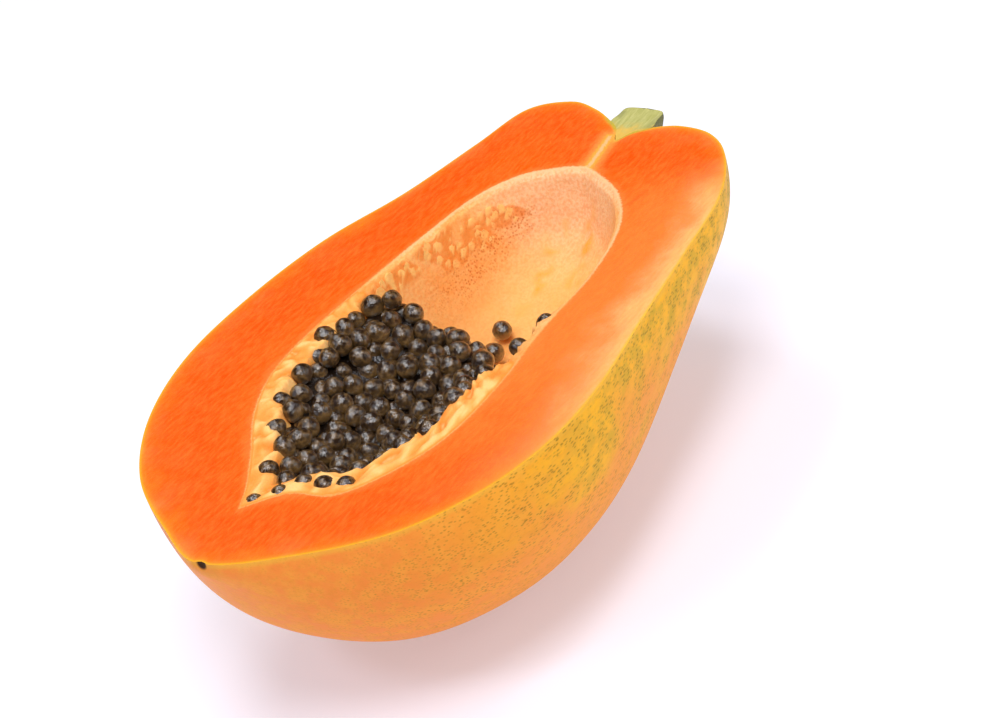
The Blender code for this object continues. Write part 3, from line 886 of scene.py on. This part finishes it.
def flesh_colour(tree, place, x, y, from_rim, from_skin, patches, cells, fine):
    # Depth under the skin, in parts of 30 mm: noise moves the colour zones, but not the line at the skin.
    shift = add(tree, "MapRange", (patches, NOISE_LOW, NOISE_HIGH, -3.5, 3.5), **SOFT)
    inside = add(tree, "MapRange", (from_skin, 0.6, 6.0), **SOFT)
    shift = add(tree, "Math", (stray(tree, shift, cells, 0.8), inside), **PRODUCT)
    under = add(tree, "Math", (add(tree, "Math", (from_skin, shift), **SUM), 1 / 30), **PRODUCT)
    deep = add(tree, "ValToRGB", (under,), stops=(
        (0.0, "EDAE20"), (1.0, "EE5804"), (0.014, "F09A20"), (0.03, "EE7E1C"), (0.07, "EA6410"),
        (0.18, "E65406"), (0.50, "EA4E02")))
    peach = add(tree, "ValToRGB", (under,), stops=(
        (0.0, "F0B834"), (1.0, "F8782E"), (0.014, "F6B44A"), (0.035, "FBB66C"), (0.16, "FBA262"),
        (0.34, "F98848"), (0.55, "F8762E")))
    to_right = overlap(tree, (y, -6, -46), (x, -84, 6))
    to_right = add(tree, "Math", (to_right, add(tree, "MapRange", (x, 88, 62), **SOFT)), **PRODUCT)
    cloudy = add(tree, "MapRange", (patches, 0.45, 0.7, 0.0, 0.2), **SOFT)
    to_right = add(tree, "Math", (to_right, cloudy), use_clamp=True, **SUM)
    flesh = add(tree, "Mix", (to_right, deep, peach), **COLOURS)
    flesh = tint(tree, flesh, "FF8C38", cells, 0.35, 0.68, 0.3)
    flesh = tint(tree, flesh, "F8823A", stray(tree, from_rim, patches, 1.5), 3.6, 0.4, 0.5)

    # Green gets in from the skin round the pit of the stalk.
    from_pit = add(tree, "VectorMath", (place, PIT), **APART)
    green = overlap(tree, (from_pit, 13.0, 7.0, 0.0, 0.8), (from_skin, 2.2, 0.4))
    flesh = add(tree, "Mix", (green, flesh, "B4AC40"), **COLOURS)
    for start, end, tints in LINES:
        line = stray(tree, from_line(tree, place, start, end), fine, 0.25)
        for far, near, strength, code in tints:
            flesh = tint(tree, flesh, code, line, far, near, strength)
    return flesh


print("lines drawn on the flesh:", len(LINES))

# %% [markdown]
# ## Lining of the cavity
# The lining is a pale membrane: peach, paler towards the stem and low in the bowl, and yellow in patches
# beside the rib. Folds and knobs are cream, their own colour; the deeper orange low between the folds and
# between the knobs is painted shade. Below the knobs it is speckled red brown where stalks broke off. Those
# specks are about half a millimetre, and drawn at 0.8 mm so that they show. The marks kept on the mesh say
# where each of these is.

# %% Lining
SPECK_SIZE = 0.8


def lining_colour(tree, place, x, z, patches, cells, fine, pale, rows, speck, yellow, knob):
    membrane = add(tree, "ValToRGB", (patches,), stops=((0.3, "FAA858"), (0.7, "FDC684"), (0.5, "FBB870")))
    membrane = tint(tree, membrane, "FFCEA4", x, 52, 70, 0.65)
    membrane = tint(tree, membrane, "F28E42", fine, 0.62, 0.36, 0.42)
    membrane = tint(tree, membrane, "F8B868", z, -10, -28, 0.5)
    patch = add(tree, "Math", (yellow, add(tree, "MapRange", (fine, 0.3, 0.6, 0.4, 0.95), **SOFT)), **PRODUCT)
    membrane = add(tree, "Mix", (patch, membrane, "F5A232"), **COLOURS)
    # Fold colour follows the fold's height: cream tops are the fringe's own colour, and the deeper orange low
    # between folds is painted shade.
    fold_cream_and_painted_shade = add(tree, "ValToRGB", (pale,), stops=(
        (0.0, "E67420"), (1.0, "FCC47A"), (0.25, "F08A34"), (0.55, "F5A250"), (0.8, "F9B566")))
    lining = tint(tree, membrane, fold_cream_and_painted_shade, pale, 0.02, 0.3)
    # Painted shade: deep orange in the recesses between the knobs of a row.
    between = overlap(tree, (knob, 0.4, 0.05), (rows, 0.2, 0.6, 0.0, 0.6))
    lining = add(tree, "Mix", (between, lining, "E87C2C"), **COLOURS)
    lining = tint(tree, lining, "FCC474", knob, 0.1, 0.5, 0.9)
    dots = add(tree, "TexVoronoi", {"Vector": place, "Scale": 1 / SPECK_SIZE, "Randomness": 1.0})
    dot = overlap(tree, (dots, 0.6, 0.2), (cells, 0.36, 0.54, 0.0, 0.75))
    dot = add(tree, "Math", (dot, speck), **PRODUCT)
    return add(tree, "Mix", (dot, lining, "CC6420"), **COLOURS)


print("specks drawn at", SPECK_SIZE, "mm")

# %% [markdown]
# ## Flesh and lining together
# The knife cuts both, and both are the same wet tissue, so they share one shader. Their border is ragged,
# with a cream line along the cavity's thin rim. Wet tissue shines little here, as it scatters most light.

# %% One shader for the cut
def cut_flesh():
    made, tree, shader = new_material("cut papaya flesh")
    place = fruit_frame(tree)
    x, y, z = add(tree, "SeparateXYZ", (place,)).node.outputs
    from_rim, from_skin, *marks = [
        add(tree, "Attribute", out="Fac", attribute_name=name) for name in ("from_rim", "from_skin", *MARKS)]
    patches = add(tree, "TexNoise", {"Vector": place, "Scale": 1 / 17, "Detail": 4.0, "Roughness": 0.6})
    streaked = add(tree, "Mapping", {"Vector": place, "Rotation": (0, 0, 0.5), "Scale": (0.35, 1.3, 1)})
    cells = add(tree, "TexNoise", {"Vector": streaked, "Scale": 1 / 1.5, "Detail": 5.0, "Roughness": 0.65})
    fine = add(tree, "TexNoise", {"Vector": place, "Scale": 1 / 0.9, "Detail": 3.0})
    flesh = flesh_colour(tree, place, x, y, from_rim, from_skin, patches, cells, fine)
    lining = lining_colour(tree, place, x, z, patches, cells, fine, *marks)
    border = stray(tree, from_rim, fine, 0.25)
    colour = tint(tree, flesh, lining, border, 0.9, -0.3)
    rim_line = overlap(tree, (border, 1.0, 0.3), (border, -1.0, -0.3))
    rim_line = add(tree, "Math", (rim_line, add(tree, "MapRange", (x, 10, 40, 0.0, 0.6), **SOFT)), **PRODUCT)
    colour = add(tree, "Mix", (rim_line, colour, "FDC28C"), **COLOURS)
    low = add(tree, "Bump", {"Height": cells, "Strength": 0.4, "Distance": 0.0006})
    bump = add(tree, "Bump", {"Height": fine, "Strength": 0.45, "Distance": 0.0004, "Normal": low})
    feed(tree, shader, {
        "Base Color": colour, "Normal": bump,
        "Roughness": add(tree, "MapRange", (cells, NOISE_LOW, NOISE_HIGH, 0.36, 0.52), **SOFT),
        "Subsurface Weight": 0.12, "Subsurface Radius": (1.0, 0.4, 0.12), "Subsurface Scale": 0.003,
        "IOR": 1.38, "Specular IOR Level": 0.08})
    return made


flesh_material = cut_flesh()
print("nodes in the flesh:", len(flesh_material.node_tree.nodes))

# %% [markdown]
# ## Papaya skin
# The peel is thin, smooth and slightly waxy. It ripens from the blossom end up: warm orange there and
# underneath, then yellow along the sides, with a green cast left in patches, and freckles where latex has
# dried. Freckles are under a millimetre to two millimetres and drawn out along the fruit, and the
# smallest are drawn at about 1 mm so that they show. Height and place along the fruit choose the colours.

# %% Skin
TIP = (-109.4, 0.0, -0.6)  # scar of the blossom
FRECKLES = ((0.95, 0.45, (0.36, 0.56)), (1.9, 0.26, (0.42, 0.58)))  # size in mm, reach, where they crowd


def papaya_skin():
    made, tree, shader = new_material("waxy papaya skin")
    place = fruit_frame(tree)
    z = add(tree, "SeparateXYZ", (place,), out="Z")
    along = add(tree, "Attribute", out="Fac", attribute_name="along")
    clouds = add(tree, "TexNoise", {"Vector": place, "Scale": 1 / 30, "Detail": 5.0, "Roughness": 0.6})
    mottle = add(tree, "TexNoise", {"Vector": place, "Scale": 1 / 6, "Detail": 5.0, "Roughness": 0.65})
    lengthwise = add(tree, "Mapping", {"Vector": place, "Scale": (0.12, 1, 1)})
    streaks = add(tree, "TexNoise", {"Vector": lengthwise, "Scale": 1 / 1.8, "Detail": 4.0, "Roughness": 0.6})

    height = stray(tree, z, clouds, 12)
    colour = tint(tree, "F9B822", "F89C38", height, -8, -36)
    colour = tint(tree, colour, "F48C3A", along, 0.58, 0.86)
    colour = tint(tree, colour, "F6AA40", mottle, 0.35, 0.65, 0.5)
    colour = tint(tree, colour, "DE8C2C", streaks, 0.45, 0.75, 0.35)
    side = overlap(tree, (height, -36, -6), (along, 0.74, 0.5))
    mottled = add(tree, "MapRange", (mottle, 0.40, 0.64, 0.0, 0.62), **SOFT)
    green = add(tree, "Math", (mottled, side), **PRODUCT)
    colour = add(tree, "Mix", (green, colour, "BCA02A"), **COLOURS)
    at_stem = overlap(tree, (along, 0.30, 0.04, 0.0, 0.45), (clouds, 0.3, 0.6))
    colour = add(tree, "Mix", (at_stem, colour, "C0A83C"), **COLOURS)
    colour = tint(tree, colour, "EDB440", z, -2.2, -0.2, 0.6)

    # Freckles of two sizes, sparse at the blossom end and below.
    drawn_out = add(tree, "Mapping", {"Vector": place, "Scale": (0.5, 1.25, 1.25)})
    freckled = overlap(tree, (along, 0.95, 0.68, 0.12, 1.0), (height, -62, -20, 0.45, 1.0))
    for size, reach, crowd in FRECKLES:
        dots = add(tree, "TexVoronoi", {"Vector": drawn_out, "Scale": 1 / size, "Randomness": 1.0})
        dot = overlap(tree, (dots, reach, reach * 0.45, 0.0, 0.52), (mottle, *crowd))
        dot = add(tree, "Math", (dot, freckled), **PRODUCT)
        colour = add(tree, "Mix", (dot, colour, "7C5E16"), **COLOURS)
    from_tip = add(tree, "VectorMath", (place, TIP), **APART)
    colour = tint(tree, colour, "D08A34", from_tip, 7.0, 2.0, 0.35)
    colour = tint(tree, colour, "3C2412", from_tip, 2.0, 1.1)

    pores = add(tree, "TexNoise", {"Vector": place, "Scale": 1 / 0.8, "Detail": 3.0})
    bump = add(tree, "Bump", {"Height": pores, "Strength": 0.2, "Distance": 0.0003})
    waves = add(tree, "Bump", {"Height": streaks, "Strength": 0.25, "Distance": 0.0005, "Normal": bump})
    feed(tree, shader, {
        "Base Color": colour, "Normal": waves,
        "Roughness": add(tree, "MapRange", (mottle, NOISE_LOW, NOISE_HIGH, 0.38, 0.52), **SOFT),
        "Specular IOR Level": 0.05, "Subsurface Weight": 0.08, "Subsurface Radius": (1.0, 0.5, 0.15),
        "Subsurface Scale": 0.002})
    return made


skin_material = papaya_skin()
fruit.data.materials.append(skin_material)
fruit.data.materials.append(flesh_material)
print("nodes in the skin:", len(skin_material.node_tree.nodes))

# %% [markdown]
# ## Papaya seeds
# The seed is near black, and its jelly coat is clear and tinted olive brown. Each seed is drawn lighter
# olive brown on its lower side, a painted glow of light through the jelly, and lighter in random patches.
# Its wet surface has small sharp highlights, broken up by wrinkles of about a millimetre. The pulp below
# is as wet, and painted darker, near black, as the shade in the gaps between seeds.

# %% Seeds and pulp
def wet_seed(name, dark, light):
    made, tree, shader = new_material(name)
    place = fruit_frame(tree)
    tone = add(tree, "Attribute", out="Fac", attribute_name="tone")
    wrinkle = add(tree, "TexNoise", {"Vector": place, "Scale": 1 / 1.6, "Detail": 4.0, "Roughness": 0.62})
    ridged = add(tree, "TexNoise", {"Vector": place, "Scale": 1 / 1.3, "Detail": 2.0},
                 noise_type="RIDGED_MULTIFRACTAL")
    facing_up = add(tree, "SeparateXYZ", (add(tree, "NewGeometry", out="True Normal"),), out="Z")
    # Painted glow: the lower side of each seed is drawn lighter olive brown, standing for light through the
    # jelly; random patches are added to it.
    painted_underglow_and_patches = overlap(tree, (facing_up, 0.5, -0.4), (tone, 0.0, 0.9, 0.25, 1.0))
    patchy = add(tree, "MapRange", (wrinkle, 0.42, 0.66, 0.0, 0.55), **SOFT)
    painted_underglow_and_patches = add(tree, "Math", (painted_underglow_and_patches, patchy), use_clamp=True, **SUM)
    broad = add(tree, "Bump", {"Height": wrinkle, "Strength": 0.5, "Distance": 0.0009})
    bump = add(tree, "Bump", {"Height": ridged, "Strength": 0.35, "Distance": 0.0004, "Normal": broad})
    feed(tree, shader, {
        "Base Color": add(tree, "Mix", (painted_underglow_and_patches, dark, light), **COLOURS),
        "Normal": bump, "Roughness": 0.3, "Specular IOR Level": 0.25,
        "Coat Normal": broad, "Coat Weight": 1.0, "Coat Roughness": 0.05,
        "Coat IOR": 1.75})  # jelly is near 1.4, raised to match how bright the wet glints are
    return made


seed_material = wet_seed("papaya seed in jelly", "28170C", "8C6A3C")
# Near-black pulp: painted shade for the gaps between the seeds.
pulp_shade_material = wet_seed("pulp painted dark as gap shade", "140B06", "2A1A0C")
for piece in [heap, gap_seeds, *single]:
    piece.data.materials.append(seed_material)
pulp.data.materials.append(pulp_shade_material)
print("seed materials:", seed_material.name, "and", pulp_shade_material.name)

# %% [markdown]
# ## Green stalk
# The stalk is soft wood. Its cut is pale yellow green with long fibres, and its bark is darker and
# dull, dark olive on the right. Fibres are a few tenths of a millimetre, too fine to show, so they are
# drawn at about 1 mm. Its root turns yellow where it meets the flesh.

# %% Stalk
def green_stalk():
    made, tree, shader = new_material("green papaya stalk")
    place = fruit_frame(tree)
    x, y, _ = add(tree, "SeparateXYZ", (place,)).node.outputs
    lengthwise = add(tree, "Mapping", {"Vector": place, "Scale": (0.15, 1, 1)})
    fibres = add(tree, "TexNoise", {"Vector": lengthwise, "Scale": 1 / 0.9, "Detail": 4.0, "Roughness": 0.6})
    blotch = add(tree, "TexNoise", {"Vector": place, "Scale": 1 / 3.5, "Detail": 3.0})
    cut = add(tree, "ValToRGB", (fibres,), stops=((0.3, "A6A456"), (0.7, "C6C07A"), (0.5, "B6B268")))
    bark = add(tree, "ValToRGB", (blotch,), stops=((0.3, "5A5C30"), (0.7, "8E8A50"), (0.5, "74743E")))
    facing_up = add(tree, "SeparateXYZ", (add(tree, "NewGeometry", out="True Normal"),), out="Z")
    colour = tint(tree, bark, cut, facing_up, 0.6, 0.9)
    from_axis = add(tree, "Math", (y,), **SIZE)
    edge = overlap(tree, (from_axis, 4.6, 7.4, 0.0, 0.5), (blotch, 0.35, 0.6))
    colour = add(tree, "Mix", (edge, colour, "6E7040"), **COLOURS)
    colour = tint(tree, colour, "DCB24E", stray(tree, x, blotch, 1.5), 102.5, 96.5)
    bump = add(tree, "Bump", {"Height": fibres, "Strength": 0.5, "Distance": 0.0005})
    feed(tree, shader, {"Base Color": colour, "Normal": bump, "Roughness": 0.6, "Specular IOR Level": 0.3})
    return made


stalk.data.materials.append(green_stalk())
print("stalk material:", stalk.data.materials[0].name)

# %% [markdown]
# ## White table
# The fruit lies on plain white, as for a catalogue. A white table lit from below keeps its shadow pale,
# so the floor is a dull sheet that glows a little by itself.

# %% Floor
FLOOR_REACH = 6  # metres, far past what the camera sees


def build_floor():
    mesh = bpy.data.meshes.new("floor")
    corners = [(x * FLOOR_REACH, y * FLOOR_REACH, 0) for x, y in ((-1, -1), (1, -1), (1, 1), (-1, 1))]
    mesh.from_pydata(corners, [], [(0, 1, 2, 3)])
    material, tree, shader = new_material("white table")
    feed(tree, shader, {
        "Base Color": "D2D2DE", "Roughness": 0.9, "Specular IOR Level": 0.1,
        "Emission Color": "F4F4FF", "Emission Strength": 0.35})
    mesh.materials.append(material)
    return link("floor", mesh)


floor = build_floor()
print("floor:", 2 * FLOOR_REACH, "metres wide")

# %% [markdown]
# ## Light
# One soft light above the camera's shoulder reaches into the cavity, a weaker one stands above and
# behind, one low to the right lights the skin, and white all round keeps shadows light. Two small weak
# lamps add the sharp glints on the wet seeds.

# %% Lamps and world
LAMPS = (  # name, place and size in metres, power in watts, colour
    ("key_light", (-0.45, -0.45, 1.35), 0.55, 10.2, "FFFFFF"),
    ("top_light", (0.35, 0.55, 1.25), 0.5, 5.0, "FFFFFF"),
    ("right_light", (0.55, -0.85, 0.45), 0.5, 1.6, "FFFFFF"),
    ("glint_left", (-0.75, 0.15, 1.0), 0.24, 2.2, "EEF2FF"),
    ("glint_right", (0.1, -0.35, 1.1), 0.22, 1.7, "F4F2FF"),
)
WORLD_STRENGTH = 0.42

for name, place, size, power, colour in LAMPS:
    data = bpy.data.lights.new(name, "AREA")
    data.shape = "DISK"
    data.size = size
    data.energy = power
    data.color = linear(colour)[:3]
    lamp = link(name, data)
    lamp.location = place
    lamp.rotation_euler = (-Vector(place)).to_track_quat("-Z", "Y").to_euler()

world = bpy.data.worlds.new("white_studio")
world.use_nodes = True
feed(world.node_tree, world.node_tree.nodes["Background"], {"Color": "FFFFFF", "Strength": WORLD_STRENGTH})
world.cycles_visibility.glossy = False  # only the lamps show in wet surfaces
bpy.context.scene.world = world
bpy.context.scene.view_settings.view_transform = "Standard"

# %% [markdown]
# ## Hand the pieces to the model
# Each dressed piece rides on the one body of the part, and the plain solids that it stands for are hidden.

# %% Ride, replace and finish
for piece, slot, nodes in (
    (fruit, "flesh", ("half_fruit",)),
    (stalk, "stem", ("stem_stub",)),
    (heap, "seed", ("seed_cluster",)),
    (gap_seeds, "seed", ()),
    (pulp, "seed", ()),
    *((seed, "seed", (f"stray_seed_{k}",)) for k, seed in enumerate(single, start=1)),
):
    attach(piece, "root")
    if nodes:
        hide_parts(*nodes)
